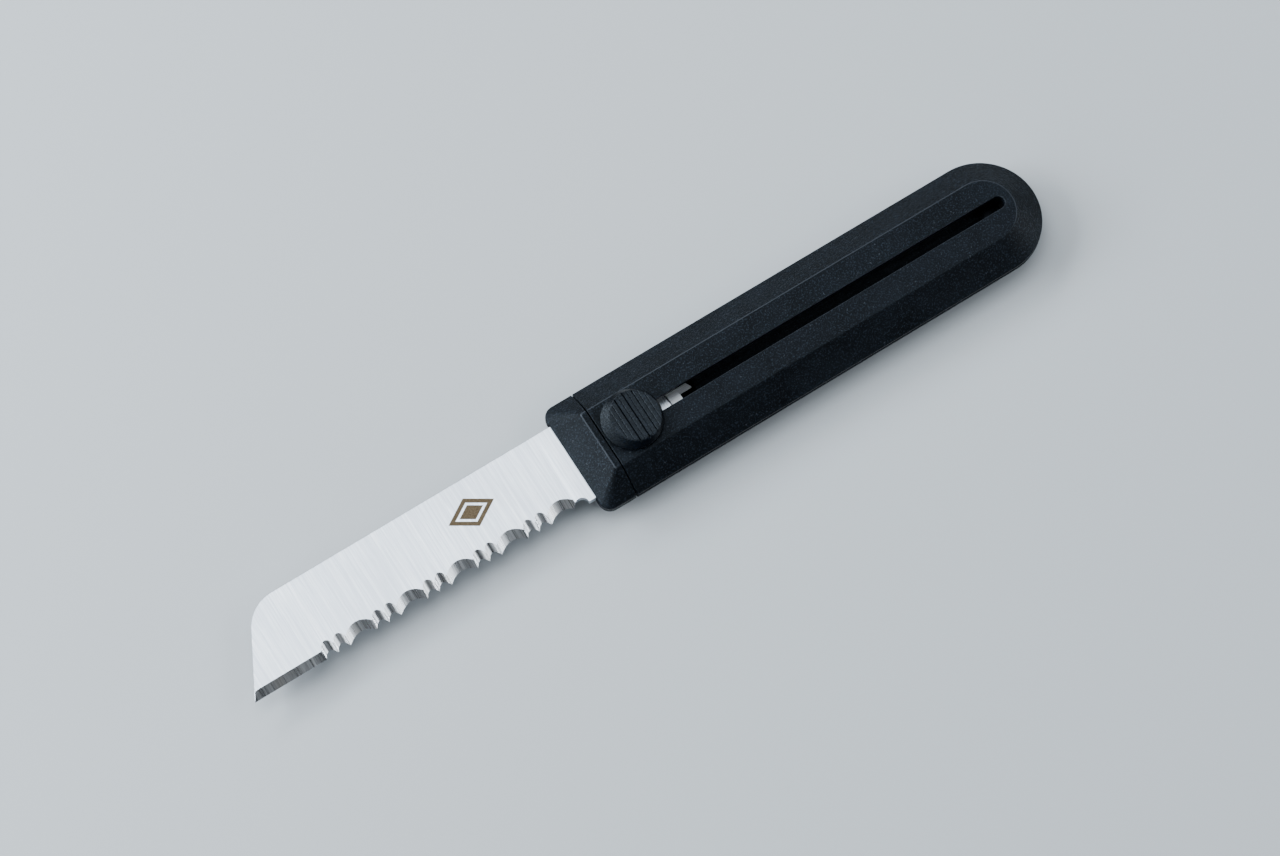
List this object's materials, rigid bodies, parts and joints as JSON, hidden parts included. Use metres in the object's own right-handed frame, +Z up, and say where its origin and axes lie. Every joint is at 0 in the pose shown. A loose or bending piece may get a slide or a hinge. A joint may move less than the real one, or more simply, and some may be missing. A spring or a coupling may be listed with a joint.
{
  "type": "slide-out serrated rescue knife",
  "caption": "Slide-out rescue knife: flat serrated sheepsfoot blade locked out of a slim octagonal handle, released and drawn in by a round ribbed thumb knob in a long slot.",
  "frame": {"origin": "on the handle's underside flat, at the middle of the handle's length and width", "axes": "+X along the knife to the blade tip, +Y to the cutting edge, +Z up through the thumb knob; stored with the blade fully out and locked"},
  "size_m": [0.2278, 0.03, 0.0157],
  "materials": {
    "moulding": "fine-grained moulded glass-filled nylon, blue-black",
    "knob_moulding": "moulded, slightly smoother than the shells",
    "blade_steel": "satin, ground across the blade",
    "spring_steel": "plain rolled spring steel",
    "fastener_steel": "plain",
    "nylon": "self-lubricating nylon",
    "bumper_rubber": "soft black rubber"
  },
  "bodies": {
    "handle": {"upper_shell": "moulding", "lower_shell": "moulding", "nose_cap": "moulding", "nose_pin_left": "fastener_steel", "nose_pin_right": "fastener_steel", "rear_screw": "fastener_steel", "rear_bumper": "bumper_rubber", "lock_spring": "spring_steel", "lock_rivet_left": "fastener_steel", "lock_rivet_right": "fastener_steel", "park_spring": "spring_steel", "park_rivet": "fastener_steel", "glide_pad_left": "nylon", "glide_pad_right": "nylon"},
    "carriage": {"blade": "blade_steel", "slider_block": "nylon", "slider_rivet_left": "fastener_steel", "slider_rivet_right": "fastener_steel"},
    "knob": {"thumb_knob": "knob_moulding", "knob_post": "spring_steel", "return_spring": "spring_steel"}
  },
  "joints": [
    {"name": "blade_slide", "type": "slide", "parent": "handle", "child": "carriage", "axis": [-1, 0, 0], "range_m": [0, 0.0965], "deforming": ["lock_spring"]},
    {"name": "knob_press", "type": "slide", "parent": "carriage", "child": "knob", "axis": [0, 0, -1], "range_m": [0, 0.0008], "stiffness_N_per_m": 3000, "deforming": ["return_spring"]}
  ]
}
